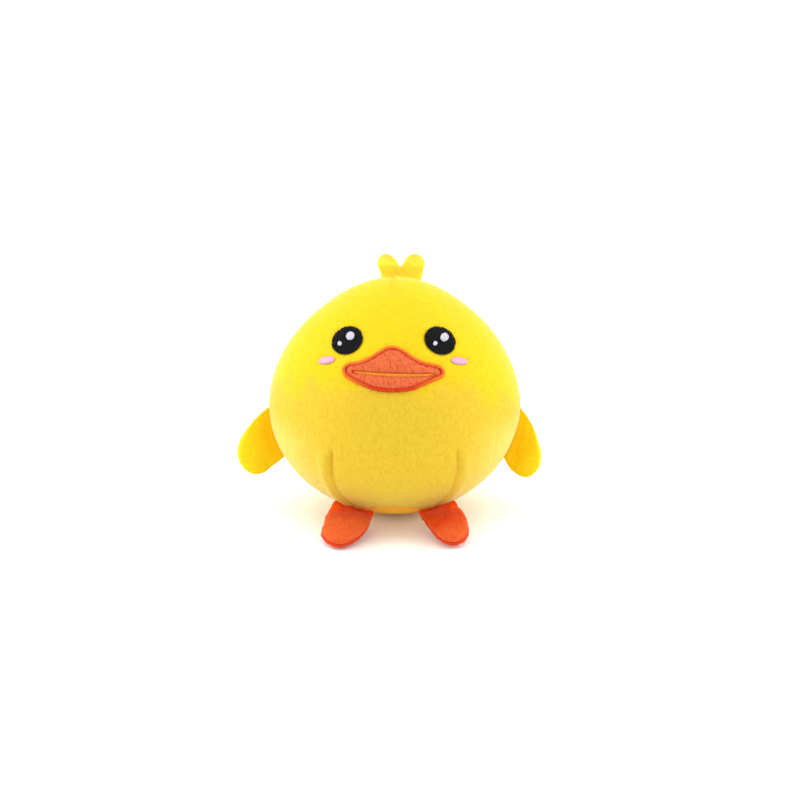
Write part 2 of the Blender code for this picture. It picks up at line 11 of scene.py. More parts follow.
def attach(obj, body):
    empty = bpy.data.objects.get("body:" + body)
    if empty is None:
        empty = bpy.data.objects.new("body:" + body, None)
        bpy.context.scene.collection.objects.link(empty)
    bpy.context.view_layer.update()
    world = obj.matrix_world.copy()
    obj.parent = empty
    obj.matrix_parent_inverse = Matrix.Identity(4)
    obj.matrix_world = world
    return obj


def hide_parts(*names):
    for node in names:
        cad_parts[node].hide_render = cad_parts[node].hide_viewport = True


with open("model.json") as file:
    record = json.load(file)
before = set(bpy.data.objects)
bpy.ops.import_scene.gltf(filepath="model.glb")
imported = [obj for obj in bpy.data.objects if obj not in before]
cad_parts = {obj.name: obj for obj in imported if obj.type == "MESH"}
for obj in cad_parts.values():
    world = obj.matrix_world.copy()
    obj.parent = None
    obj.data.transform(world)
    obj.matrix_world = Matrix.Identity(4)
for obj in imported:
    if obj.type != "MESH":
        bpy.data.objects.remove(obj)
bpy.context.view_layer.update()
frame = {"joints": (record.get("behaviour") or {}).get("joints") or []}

print("plush duck: frame loaded")

# The toy leans back. Its own axes start at the ball's centre: x to its left, y backwards, z up
toy = {
    "lean": 17.421,
    "centre": (0.0, -0.002037, 0.07632),
    "halfWidth": 0.0864,
    "halfDepth": 0.080,
    "topHeight": 0.0855,
    "bottomHeight": 0.0765,
    "topFullness": 1.81,
    "bottomFullness": 2.0,
    "baseLatitude": -66.83,
}
toyMatrix = Matrix.Translation(toy["centre"]) @ Matrix.Rotation(-math.radians(toy["lean"]), 4, "X")

# Camera, floor and lights

view = {"distance": 1.15, "frameWidth": 0.544, "sensorWidth": 36, "aim": (0.0036, 0.0, 0.0014)}
cameraData = bpy.data.cameras.new("camera")
cameraData.sensor_width = view["sensorWidth"]
cameraData.lens = view["sensorWidth"] * view["distance"] / view["frameWidth"]
camera = bpy.data.objects.new("camera", cameraData)
bpy.context.scene.collection.objects.link(camera)
viewpoint = Vector(view["aim"]) - Vector((0, view["distance"], 0))
camera.matrix_world = toyMatrix @ Matrix.Translation(viewpoint) @ Matrix.Rotation(math.pi / 2, 4, "X")
bpy.context.scene.camera = camera
bpy.context.scene.view_settings.view_transform = "Standard"

# Three broad soft lamps: one at each side and one overhead
studio = {
    "sideLeft": {"towards": (-0.90, 0.16, 0.40), "strength": 2.35, "spread": 50},
    "sideRight": {"towards": (0.90, 0.16, 0.40), "strength": 2.1, "spread": 50},
    "overhead": {"towards": (0.0, 0.06, 0.99), "strength": 1.2, "spread": 60},
    "room": 1.02,
    "clothTone": 0.69,  # how much darker than white paper the brightest cloth is in this room
}


def addLamp(name, towards, strength, spread):
    data = bpy.data.lights.new(name, "SUN")
    data.energy = strength
    data.angle = math.radians(spread)
    lamp = bpy.data.objects.new(name, data)
    bpy.context.scene.collection.objects.link(lamp)
    lamp.rotation_euler = Vector(towards).to_track_quat("Z", "Y").to_euler()


for lampName in ("sideLeft", "sideRight", "overhead"):
    addLamp(lampName, **studio[lampName])

world = bpy.data.worlds.new("softRoom")
bpy.context.scene.world = world
world.use_nodes = True
room = world.node_tree.nodes["Background"]
room.inputs["Color"].default_value = (1.0, 1.0, 1.0, 1.0)
room.inputs["Strength"].default_value = studio["room"]


# Small helpers


def smooth(share):
    share = np.clip(share, 0.0, 1.0)
    return share * share * (3 - 2 * share)


def easeFrom(value, start, span):
    # 0 up to the start, 1 beyond the span, and smooth between
    return smooth((value - start) / span)


def bell(distance, width):
    # 1 on a line, and falling off on both sides of it
    return np.exp(-(distance / width) ** 2)


def vectorsOf(items, name):
    found = np.empty(len(items) * 3)
    items.foreach_get(name, found)
    return found.reshape(-1, 3)


def pointsOf(thing):
    return vectorsOf(thing.data.vertices, "co")


def setPoints(thing, points):
    thing.data.vertices.foreach_set("co", np.asarray(points, float).ravel())
    thing.data.update()


def setTone(thing, name, values):
    tone = thing.data.attributes.get(name) or thing.data.attributes.new(name, "FLOAT", "POINT")
    tone.data.foreach_set("value", np.asarray(values, np.float32))


def curveThrough(points, count):
    # A smooth closed curve through given points, in even steps along it
    points = np.asarray(points, float)
    total = len(points)
    samples = 24
    fine = []
    for k in range(total):
        before, start, end, after = (points[(k + offset) % total] for offset in (-1, 0, 1, 2))
        for t in np.arange(samples) / samples:
            fine.append(
                start + (end - before) * (t / 2)
                + (before * 2 - start * 5 + end * 4 - after) * (t * t / 2)
                + (start * 3 - before - end * 3 + after) * (t ** 3 / 2)
            )
    fine = np.array(fine + fine[:1])
    length = np.concatenate([[0], np.cumsum(np.linalg.norm(np.diff(fine, axis=0), axis=1))])
    steps = np.arange(count) / count * length[-1]
    return np.stack([np.interp(steps, length, fine[:, axis]) for axis in range(points.shape[1])], axis=1)


def pile(points, wavelength, seed):
    # Soft relief from -1 to 1, of about this wavelength in metres. Each seed reads another place of it
    shift = Vector((seed * 3.7, seed * 1.9, seed * 5.3))
    return np.array([noise.noise(Vector(p) / wavelength + shift) for p in points])


def addBall(name, segments, rings):
    # A ball whose columns and rings are then moved to their places
    bpy.ops.mesh.primitive_uv_sphere_add(segments=segments, ring_count=rings, radius=1)
    ball = bpy.context.active_object
    ball.name = name
    ball.data.name = name
    points = pointsOf(ball)
    height = np.degrees(np.arcsin(np.clip(points[:, 2], -1, 1)))
    ring = np.rint((height + 90) * rings / 180).astype(int)
    turn = np.degrees(np.arctan2(points[:, 0], -points[:, 1])) % 360
    column = np.rint(turn * segments / 360).astype(int) % segments
    return ball, column, ring


def pickOnly(thing):
    bpy.ops.object.select_all(action="DESELECT")
    thing.select_set(True)
    bpy.context.view_layer.objects.active = thing


def subdivideBy(thing, levels):
    pickOnly(thing)
    finer = thing.modifiers.new("finer", "SUBSURF")
    finer.levels = levels
    finer.render_levels = levels
    bpy.ops.object.modifier_apply(modifier=finer.name)


def pressOut(thing, held, pressure, cap, slack):
    # Stuffing: cloth under pressure, held along its seams, and no point moves further than the cap
    rest = pointsOf(thing)
    group = thing.vertex_groups.new(name="seams")
    for index in np.nonzero(held > 0)[0]:
        group.add([int(index)], float(held[index]), "REPLACE")
    cloth = thing.modifiers.new("stuffing", "CLOTH")
    settings = cloth.settings
    settings.quality = 6
    settings.mass = 0.15
    settings.tension_stiffness = 12
    settings.compression_stiffness = 12
    settings.shear_stiffness = 6
    settings.bending_stiffness = 0.6
    settings.air_damping = 4
    settings.use_pressure = True
    settings.uniform_pressure_force = pressure
    settings.shrink_min = slack
    settings.effector_weights.gravity = 0
    settings.vertex_group_mass = group.name
    settings.pin_stiffness = 1
    cloth.collision_settings.use_collision = False
    lastFrame = 20
    for step in range(1, lastFrame + 1):
        bpy.context.scene.frame_set(step)
    shaped = thing.evaluated_get(bpy.context.evaluated_depsgraph_get())
    move = pointsOf(shaped) - rest
    size = np.linalg.norm(move, axis=1)
    move *= (np.minimum(size, cap) / np.maximum(size, 1e-9))[:, None]
    thing.modifiers.remove(cloth)
    thing.vertex_groups.clear()
    setPoints(thing, rest + move)
    bpy.context.scene.frame_set(1)
    print("  ", thing.name, "moved at most", round(float(size.max()) * 1000, 2), "mm")


def finish(thing, material, body, matrix):
    # Into the frame's axes, shaded smooth, and onto its body
    thing.data.transform(matrix)
    thing.matrix_world = Matrix.Identity(4)
    thing.data.materials.append(material)
    thing.data.polygons.foreach_set("use_smooth", [len(face.vertices) < 5 for face in thing.data.polygons])
    thing.data.update()
    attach(thing, body)


# Materials


def shade(red, green, blue, gain=1.0):
    # A colour as read from a screen, on Blender's own scale and for the light in this room
    spread = []
    for value in (red, green, blue):
        value = value / 255
        value = value / 12.92 if value <= 0.04045 else ((value + 0.055) / 1.055) ** 2.4
        spread.append(value * studio["clothTone"] * gain)
    return (*spread, 1.0)


def setInputs(node, values):
    for name, value in values.items():
        node.inputs[name].default_value = value


def newMaterial(name):
    material = bpy.data.materials.new(name)
    material.use_nodes = True
    tree = material.node_tree
    return material, tree, tree.nodes["Principled BSDF"]


def addNoise(tree, source, scale, detail):
    speckle = tree.nodes.new("ShaderNodeTexNoise")
    setInputs(speckle, {"Scale": scale, "Detail": detail})
    tree.links.new(source, speckle.inputs["Vector"])
    return speckle.outputs["Fac"]


def addAttribute(tree, name):
    source = tree.nodes.new("ShaderNodeAttribute")
    source.attribute_name = name
    return source.outputs["Fac"]


def addRange(tree, source, low, high, toLow, toHigh):
    change = tree.nodes.new("ShaderNodeMapRange")
    setInputs(change, {"From Min": low, "From Max": high, "To Min": toLow, "To Max": toHigh})
    tree.links.new(source, change.inputs["Value"])
    return change.outputs["Result"]


def addMix(tree, factor, one, other, how="MIX"):
    mix = tree.nodes.new("ShaderNodeMix")
    mix.data_type = "RGBA"
    mix.blend_type = how
    for socket, value in ((mix.inputs["Factor"], factor), (mix.inputs[6], one), (mix.inputs[7], other)):
        if isinstance(value, bpy.types.NodeSocket):
            tree.links.new(value, socket)
        else:
            socket.default_value = value
    return mix.outputs[2]


def addBump(tree, height, depth, strength, normal=None):
    bump = tree.nodes.new("ShaderNodeBump")
    setInputs(bump, {"Distance": depth, "Strength": strength})
    tree.links.new(height, bump.inputs["Height"])
    if normal is not None:
        tree.links.new(normal, bump.inputs["Normal"])
    return bump.outputs["Normal"]


def makePlush(name, light, secondTone, deep, between, sheen, stretch, paintedSheen=None):
    # Short pile: brushed patches, clumps of fibre and grain, a second tone by the lay attribute that is partly painted
    # light and shade, a painted sheen, and painted shade down in seams and folds, a deeper tone by the fold attribute
    material, tree, shader = newMaterial(name)
    place = tree.nodes.new("ShaderNodeTexCoord").outputs["Object"]
    mapping = tree.nodes.new("ShaderNodeMapping")
    setInputs(mapping, {"Scale": stretch})
    tree.links.new(place, mapping.inputs["Vector"])
    along = mapping.outputs["Vector"]
    patches = addNoise(tree, place, scale=45, detail=3)
    lean = tree.nodes.new("ShaderNodeMath")
    lean.operation = "MULTIPLY_ADD"
    tree.links.new(patches, lean.inputs[0])
    lean.inputs[1].default_value = 0.7
    tree.links.new(addAttribute(tree, "lay"), lean.inputs[2])
    clumps = addNoise(tree, along, scale=520, detail=3)
    fibres = addNoise(tree, along, scale=1500, detail=2)
    colour = addMix(tree, addRange(tree, lean.outputs[0], 0.25, 1.15, 0, 1), light, secondTone)
    # painted sheen: a paler colour mixed in where the body asks for it
    if paintedSheen:
        colour = addMix(tree, addAttribute(tree, "paintedSheen"), colour, paintedSheen)
    darker = addMix(tree, 1.0, colour, (*between, 1.0), "MULTIPLY")
    colour = addMix(tree, addRange(tree, clumps, 0.40, 0.75, 0, 0.55), colour, darker)
    colour = addMix(tree, addRange(tree, fibres, 0.45, 0.8, 0, 0.7), colour, darker)
    # painted shade: the deeper tone mixed in by the fold attribute
    colour = addMix(tree, addAttribute(tree, "fold"), colour, deep)
    tree.links.new(colour, shader.inputs["Base Color"])
    normal = addBump(tree, clumps, depth=0.0005, strength=0.6)
    normal = addBump(tree, fibres, depth=0.00025, strength=0.6, normal=normal)
    tree.links.new(normal, shader.inputs["Normal"])
    setInputs(shader, {"Roughness": 0.92, "Specular IOR Level": 0.12, "Sheen Weight": sheen, "Sheen Roughness": 0.32,
                       "Sheen Tint": (1.0, 0.97, 0.86, 1.0)})
    return material


def makeThread(name, light, deep, roughness, gloss=0.22):
    # Shiny embroidery thread: a tone for each stitch, and fine twisted filaments
    material, tree, shader = newMaterial(name)
    place = tree.nodes.new("ShaderNodeTexCoord").outputs["Object"]
    filaments = addNoise(tree, place, scale=1900, detail=2)
    colour = addMix(tree, addAttribute(tree, "tone"), light, deep)
    colour = addMix(tree, addRange(tree, filaments, 0.4, 0.7, 0, 0.25), colour, deep)
    tree.links.new(colour, shader.inputs["Base Color"])
    tree.links.new(addBump(tree, filaments, depth=0.0002, strength=0.5), shader.inputs["Normal"])
    setInputs(shader, {"Roughness": roughness, "Specular IOR Level": gloss})
    return material


# How each cloth's grain is scaled along x, y and z: a small share draws it out
grain = {"lying": (1.0, 1.0, 0.5), "short": (1.0, 1.0, 1.0), "streaked": (1.5, 1.5, 0.3)}
# the body's plush: its second tone, below the brushed line, is partly painted shade on the lower front; its deep tone
# is painted shade in seams and darts; its last colour is a painted sheen
yellowPlush = makePlush("yellowPlush", shade(254, 219, 20), shade(244, 207, 58), shade(242, 182, 24),
                        (0.80, 0.75, 0.50), 0.32, grain["lying"], shade(255, 228, 104))
# the base panel: the body's plush painted more orange, as painted shade under the body, and brighter, as painted light
# making up for that shade
basePaintedLightPlush = makePlush("basePaintedLightPlush", shade(252, 184, 20, 1.35), shade(252, 190, 30, 1.35), shade(240, 140, 10, 1.3),
                      (0.88, 0.84, 0.66), 0.20, grain["lying"])
# wings: the deep tone is painted shade at the root; the paler second tone towards the tips is painted light
wingPlush = makePlush("wingPlush", shade(255, 212, 8, 1.14), shade(255, 220, 30, 1.14), shade(255, 182, 0, 1.3),
                      (0.92, 0.84, 0.52), 0.20, grain["short"])
# tuft: its first tone, at the root, is brightened as painted light against the shade where the tuft meets the body
tuftPlush = makePlush("tuftPlush", shade(255, 238, 68, 1.30), shade(255, 192, 84, 1.03), shade(255, 204, 0, 1.12),
                      (0.95, 0.91, 0.70), 0.26, grain["short"])
# feet: the deep tone near the root is brightened as painted light against the belly's shadow, in the redder hue of
# painted shade; the paler second tone towards the toe is painted light
footPlush = makePlush("footPlush", shade(242, 70, 6), shade(248, 108, 48), shade(255, 86, 2, 1.45),
                      (0.70, 0.42, 0.30), 0.10, grain["short"])
# the sole: the foot's plush in a darker red, painted shade on the panel that faces down
soleShadedPlush = makePlush("soleShadedPlush", shade(236, 60, 22), shade(242, 80, 38), shade(190, 20, 4),
                      (0.82, 0.64, 0.54), 0.12, grain["short"])
beakPlush = makePlush("beakPlush", shade(244, 120, 72), shade(248, 132, 84), shade(204, 70, 32),
                      (0.84, 0.66, 0.58), 0.2, grain["streaked"])
borderThread = makeThread("borderThread", shade(255, 140, 36, 1.1), shade(226, 40, 4), 0.5)
mouthThread = makeThread("mouthThread", shade(255, 158, 34, 1.1), shade(204, 84, 8), 0.55)
eyeThread = makeThread("eyeThread", shade(14, 14, 18), shade(6, 6, 9), 0.62, 0.10)
glintThread = makeThread("glintThread", shade(232, 228, 240), shade(204, 198, 220), 0.55)
cheekThread = makeThread("cheekThread", shade(250, 198, 222), shade(234, 166, 202), 0.55)
print("plush duck: materials made")


# The ball's own surface, before any stuffing presses it out


def bodyPoints(turn, latitude):
    # Turn 0 is the front and the toy's left is positive, both in degrees
    turn, rise = np.radians(turn), np.radians(latitude)
    upper = latitude > 0
    tall = np.where(upper, toy["topHeight"], toy["bottomHeight"])
    full = np.where(upper, toy["topFullness"], toy["bottomFullness"])
    wide = np.maximum(np.cos(rise), 0) ** (2 / full)
    up = np.sign(latitude) * np.abs(np.sin(rise)) ** (2 / full)
    return np.stack([
        toy["halfWidth"] * wide * np.sin(turn), -toy["halfDepth"] * wide * np.cos(turn), tall * up
    ], axis=1)


def bodyNormals(points):
    upper = points[:, 2] > 0
    tall = np.where(upper, toy["topHeight"], toy["bottomHeight"])
    full = np.where(upper, toy["topFullness"], toy["bottomFullness"])
    across = np.hypot(points[:, 0] / toy["halfWidth"], points[:, 1] / toy["halfDepth"])
    up = np.abs(points[:, 2]) / tall
    side = np.maximum(across, 1e-4) ** (full - 2)
    slope = np.stack([
        side * points[:, 0] / toy["halfWidth"] ** 2,
        side * points[:, 1] / toy["halfDepth"] ** 2,
        np.sign(points[:, 2]) * up ** (full - 1) / tall,
    ], axis=1)
    return slope / np.linalg.norm(slope, axis=1)[:, None]


# Body: four panels sewn into a ball, with a dart in the forehead and two in the belly

bodyCloth = {
    "fineSteps": (0.0007, 0.0020, 0.0040),  # extra columns and rings beside each seam
    # Degrees and plain columns: from the middle to the dart, on to the side and on to the back
    "columns": ((36, 9), (54, 12), (90, 24)),
    # Metres of cloth and plain rings: from the bottom to the base seam, and on to the top
    "rings": ((0.035, 6), (0.218, 36)),
    "dartLatitudes": (-24, -31, -40, -50, -58, -66.8),
    "leftDartTurns": (31, 34.5, 38.5, 43.5, 47, 51),
    "rightDartTurns": (31, 34.5, 39, 44, 47, 50),
    "bellyDartTop": -34,
    "foreheadDartEnd": 52,
    "pressure": 5.0,
    "cap": 0.0018,
    "startSmaller": 0.0009,
}


def dartTurn(latitude, side):
    turns = bodyCloth["leftDartTurns"] if side > 0 else bodyCloth["rightDartTurns"]
    lats = bodyCloth["dartLatitudes"]
    return np.interp(-np.asarray(latitude), [-v for v in lats], turns)


def stepsBetween(length, plain):
    # Shares along a stretch between two seams, close together at both of its ends
    near = [offset / length for offset in bodyCloth["fineSteps"]]
    start, end = near[-1], 1 - near[-1]
    middle = [start + (end - start) * (k + 1) / plain for k in range(plain - 1)]
    return [0.0] + near + middle + [1 - share for share in reversed(near)]


def makeBody():
    perDegree = math.pi / 2 * (toy["halfWidth"] + toy["halfDepth"]) / 2 / 90
    front, flank, back = (stepsBetween(degrees * perDegree, plain) for degrees, plain in bodyCloth["columns"])
    # each part starts at the middle, left dart, left side, back, right side or right dart
    plan = [(part, share) for part, shares in enumerate((front, flank, back, back, flank, front)) for share in shares]
    low, high = (stepsBetween(length, plain) for length, plain in bodyCloth["rings"])
    base = toy["baseLatitude"]
    latitudes = [-90 + (base + 90) * share for share in low]
    latitudes += [base + (90 - base) * share for share in high] + [90]
    latitudes = np.array(latitudes)
    columns, rings = len(plan), len(latitudes) - 1
    print("   body grid", columns, "by", rings)
    body, column, ring = addBall("bodyPlush", columns, rings)
    latitude = latitudes[ring]
    left, right = dartTurn(latitude, 1), dartTurn(latitude, -1)
    level = 0 * left
    marks = np.stack([level, left, level + 90, level + 180, level + 270, 360 - right, level + 360], axis=1)
    part = np.array([step[0] for step in plan])[column]
    share = np.array([step[1] for step in plan])[column]
    start = marks[np.arange(len(part)), part]
    end = marks[np.arange(len(part)), part + 1]
    turn = start + (end - start) * share
    points = bodyPoints(turn, latitude)
    onSeam = (share == 0) & ((part >= 2) & (part <= 4)) & (latitude > base)
    onSeam |= (share == 0) & ((part == 1) | (part == 5)) & (latitude < bodyCloth["bellyDartTop"])
    onSeam |= (share == 0) & (part == 0) & (latitude > bodyCloth["foreheadDartEnd"])
    onSeam |= np.abs(latitude - base) < 1e-6
    held = onSeam.astype(float)
    held[ring == 0] = 1
    held[ring == rings] = 1
    points -= bodyNormals(points) * (bodyCloth["startSmaller"] * (1 - held))[:, None]
    setPoints(body, points)
    pressOut(body, held, bodyCloth["pressure"], bodyCloth["cap"], 0.0)
    subdivideBy(body, 2)
    return body


def groove(distance, depth, width):
    # A rounded valley with a sharp line at its bottom
    return depth * (0.62 * bell(distance, width) + 0.38 * bell(distance, width * 0.28))


# Middles on the face, across and up
faceSpots = {
    "eyes": {"right": (-0.0302, 0.0396), "left": (0.0292, 0.0394)},
    "cheeks": {"right": (-0.0434, 0.0269), "left": (0.0416, 0.0264)},
}

sewing = {
    # Depth and width of each groove
    "seam": (0.0012, 0.0022),
    "baseSeam": (0.0009, 0.0024),
    "foreheadDart": (0.0006, 0.0016),
    # Side, depth of the groove and height of the ridge outside it
    "bellyDarts": ((1, 0.0015, 0.0009), (-1, 0.0022, 0.0018)),
    "bellyDartWidth": 0.0022,
    # How far each ridge lies off its dart, and its width
    "foreheadRidge": (0.0042, 0.0028),
    "bellyRidge": (0.0062, 0.0042),
    # Widths of the painted shade, a deeper tone, along them
    "seamShade": 0.0016, "baseSeamShade": 0.0018, "bellyDartShade": 0.0015,
    # Where each fade starts, and how long it is
    "wingBottom": (-0.0430, 0.004),
    "wingTop": (-0.0080, 0.004),
    "besideTuft": (0.024, 0.006),
    "besideFoot": (0.013, 0.003),
    "foreheadDartFrom": (0.0665, 0.010),
    "bellyDartBelow": (0.0270, 0.010),
    "bellyDartFainter": (0.046, 0.010),
    "footTurn": 53,  # degrees from the front to the middle of each foot
    # How far the stitches pull the face in, and how far out
    "dent": 0.0007, "eyeDent": 0.0100, "cheekDent": (0.0062, 0.0032),
}


def sewBody(body):
    # Everything that the seams, darts and embroidery pull in, then the pile itself
    points = pointsOf(body)
    normals = bodyNormals(points)
    x, y, z = points.T
    turn = np.degrees(np.arctan2(x / toy["halfWidth"], -y / toy["halfDepth"]))
    isFront, isTop = y < 0, z > 0.05
    girth = np.hypot(x, y)
    # a limb sewn into a seam fills it
    filled = easeFrom(z, *sewing["wingBottom"]) * (1 - easeFrom(z, *sewing["wingTop"]))
    filled = np.maximum(filled, isTop * (1 - easeFrom(np.abs(x - 0.002), *sewing["besideTuft"])))
    # and no seam or dart runs across the base panel
    above = easeFrom(z, seamHeight, 0.002)
    sink = groove(y, *sewing["seam"]) * (1 - 0.85 * filled) * above
    fold = bell(y, sewing["seamShade"]) * (1 - 0.8 * filled) * above
    sink = np.maximum(sink, np.where(isFront, 0, groove(x, *sewing["seam"])) * above)
    fold = np.maximum(fold, np.where(isFront, 0, bell(x, sewing["seamShade"])) * above)
    offBase = (z - seamHeight) / 0.42  # along the cloth, which leans there
    unfilled = 1.0
    for side in (1, -1):
        beside = np.abs(np.radians(turn * side - sewing["footTurn"]) * girth)
        unfilled *= easeFrom(beside, *sewing["besideFoot"])
    sink = np.maximum(sink, groove(offBase, *sewing["baseSeam"]) * (0.2 + 0.8 * unfilled))
    fold = np.maximum(fold, 0.8 * bell(offBase, sewing["baseSeamShade"]))
    # the crown is filled out a little in front of the tuft
    swell = 0.0020 * isTop * np.exp(-((x + 0.005) / 0.024) ** 2 - ((y + 0.022) / 0.020) ** 2)
    # forehead dart, with a low ridge on the toy's left of it
    fade = easeFrom(z, *sewing["foreheadDartFrom"]) * isFront
    off = x + 0.0013
    (depth, width), (ridgeAt, ridgeWidth) = sewing["foreheadDart"], sewing["foreheadRidge"]
    sink = np.maximum(sink, depth * bell(off, width) * fade)
    swell += 0.0004 * fade * bell(off - ridgeAt, ridgeWidth)
    # belly darts, each with a ridge on its outer side
    latitude = np.degrees(np.arcsin(np.clip(z / toy["bottomHeight"], -1, 0)))
    width, (ridgeAt, ridgeWidth) = sewing["bellyDartWidth"], sewing["bellyRidge"]
    for side, depth, ridge in sewing["bellyDarts"]:
        off = np.radians(turn * side - dartTurn(latitude, side)) * girth
        fade = easeFrom(-z, *sewing["bellyDartBelow"]) * isFront * (np.sign(x) == side) * above
        sharp = fade * (1 - 0.55 * easeFrom(-z, *sewing["bellyDartFainter"]))
        sink = np.maximum(sink, groove(off, depth, width) * sharp)
        swell += ridge * fade * bell(off - ridgeAt, ridgeWidth)
        fold = np.maximum(fold, (0.25 + 0.5 * sharp) * fade * bell(off, sewing["bellyDartShade"]))
    # stitches hold the pile down round the eyes and the cheeks
    for spotX, spotZ in faceSpots["eyes"].values():
        reach = np.hypot(x - spotX, z - spotZ) / sewing["eyeDent"]
        sink += sewing["dent"] * isFront * (1 - easeFrom(reach, 0.85, 0.35))
    across, up = sewing["cheekDent"]
    for spotX, spotZ in faceSpots["cheeks"].values():
        reach = np.hypot((x - spotX) / across, (z - spotZ) / up)
        sink += sewing["dent"] * isFront * (1 - easeFrom(reach, 0.8, 0.5))
    # fine pile, and broad unevenness that fades out towards the floor
    relief = 0.00022 * pile(points, 0.0045, 1) + 0.00012 * pile(points, 0.0021, 2)
    relief += 0.0006 * pile(points, 0.030, 3) * easeFrom(z, -0.066, 0.016)
    points += normals * (relief + swell - sink)[:, None]
    setPoints(body, points)
    # painted shade: a deeper tone along the seams, the darts and the base seam, where the cloth folds in
    setTone(body, "fold", np.clip(fold, 0, 1) * 0.6)
    # the pile is brushed below a wavering line, and its colour there is also made darker as painted shade on the lower
    # front
    brushLine = 0.010 - 0.10 * np.maximum(0, x) + 0.008 * pile(points, 0.016, 5) + 0.004 * pile(points, 0.006, 6)
    lay = 1 - easeFrom(z - brushLine, -0.011, 0.022)
    setTone(body, "lay", lay)
    # and outside the darts, low on the flanks and low on the front, a paler colour is painted on: a painted sheen of
    # grazing light from the room and the floor
    flank = easeFrom(np.abs(turn), 30, 42) * (1 - easeFrom(np.abs(turn), 88, 36))
    low = 0.35 * easeFrom(-z, 0.044, 0.024) * isFront
    setTone(body, "paintedSheen", lay * np.maximum(flank * easeFrom(-z, 0.004, 0.024), low))


bodyPlush = makeBody()
# the base panel's faces are told from the rest while the seam between them still lies level
seamHeight = toy["bottomHeight"] * math.sin(math.radians(toy["baseLatitude"]))
baseFaces = [face.center.z < seamHeight for face in bodyPlush.data.polygons]
print("   faces of the base panel", sum(baseFaces))
sewBody(bodyPlush)
print("plush duck: body sewn and stuffed")

bodyTree = BVHTree.FromPolygons(
    [tuple(p) for p in pointsOf(bodyPlush)], [tuple(f.vertices) for f in bodyPlush.data.polygons]
)


def facePlace(x, z):
    # The point of the body's front behind a place on the face, and the way out of it
    spot = bodyTree.ray_cast(Vector((x, -0.2, z)), Vector((0, 1, 0)))[0]
    return spot, Vector(bodyNormals(np.array([tuple(spot)]))[0])


# Embroidery: one stitch is modelled, and every other is a copy of it bent onto the face


def modelStitch():
    bpy.ops.mesh.primitive_cylinder_add(vertices=6, radius=1, depth=1)
    stitch = bpy.context.active_object
    for edge in stitch.data.edges:
        low, high = (stitch.data.vertices[v].co for v in edge.vertices)
        edge.select = abs(low.z - high.z) > 0.5
    for part in (*stitch.data.vertices, *stitch.data.polygons):
        part.select = False
    bpy.ops.object.mode_set(mode="EDIT")
    bpy.ops.mesh.select_mode(type="EDGE")
    bpy.ops.mesh.subdivide(number_cuts=3)
    bpy.ops.object.mode_set(mode="OBJECT")
    points = pointsOf(stitch)
    faces = [tuple(face.vertices) for face in stitch.data.polygons]
    bpy.data.objects.remove(stitch)
    taper, flatness, rise, sunk = 0.45, 0.5, 0.8, 0.35
    along = points[:, 2] + 0.5
    narrowed = 1 - taper * np.abs(2 * along - 1) ** 4
    arch = np.sqrt(np.maximum(0, 1 - (2 * along - 1) ** 4)) * rise - sunk
    return {"along": along, "across": points[:, 0] * narrowed, "up": points[:, 1] * narrowed * flatness,
            "arch": arch, "faces": faces}


stitchModel = modelStitch()


def layStitches(name, stitches, lift):
    # Each stitch: start, end, width, thickness, tone
    model = stitchModel
    count = len(model["along"])
    stations = np.unique(model["along"].round(4))
    points, faces, tones = [], [], []
    for number, (start, end, width, thick, tone) in enumerate(stitches):
        base, out = {}, {}
        for station in stations:
            x = start[0] + (end[0] - start[0]) * station
            z = start[1] + (end[1] - start[1]) * station
            spot, normal = facePlace(x, z)
            base[station], out[station] = np.array(spot), np.array(normal)
        run = base[stations[-1]] - base[stations[0]]
        run /= max(np.linalg.norm(run), 1e-9)
        for k in range(count):
            station = model["along"][k].round(4)
            side = np.cross(out[station], run)
            points.append(
                base[station] + side * (model["across"][k] * width / 2)
                + out[station] * (lift + thick * (model["up"][k] + model["arch"][k]))
            )
        faces += [tuple(v + number * count for v in face) for face in model["faces"]]
        tones += [tone] * count
    mesh = bpy.data.meshes.new(name)
    mesh.from_pydata([tuple(p) for p in points], [], faces)
    thing = bpy.data.objects.new(name, mesh)
    bpy.context.scene.collection.objects.link(thing)
    setTone(thing, "tone", tones)
    return thing


def sewOn(name, stitches, lift, thread):
    sewn = layStitches(name, stitches, lift)
    finish(sewn, thread, "body", toyMatrix)
    return sewn


def makePad(name, outline, middle, rings, liftAt, lowest):
    # A thin pad on the face from a flattened ball: its rim is the outline
    outline = np.asarray(outline)
    pad, column, ring = addBall(name, len(outline), 2 * rings)
    out = 1 - np.abs(ring - rings) / rings
    flat = np.asarray(middle) + (outline[column] - np.asarray(middle)) * out[:, None]
    points = np.empty((len(flat), 3))
    for k, (x, z) in enumerate(flat):
        spot, normal = facePlace(x, z)
        lift = liftAt(out[k], x, z) if ring[k] > rings else lowest
        points[k] = np.array(spot) + np.array(normal) * lift
    setPoints(pad, points)
    return pad


def ovalOutline(middle, halfLength, halfWidth, tilt, count):
    angles = np.arange(count) / count * 2 * math.pi
    turn = math.radians(tilt)
    along, up = halfLength * np.cos(angles), halfWidth * np.sin(angles)
    return np.stack([
        middle[0] + along * math.cos(turn) - up * math.sin(turn),
        middle[1] + along * math.sin(turn) + up * math.cos(turn),
    ], axis=1)


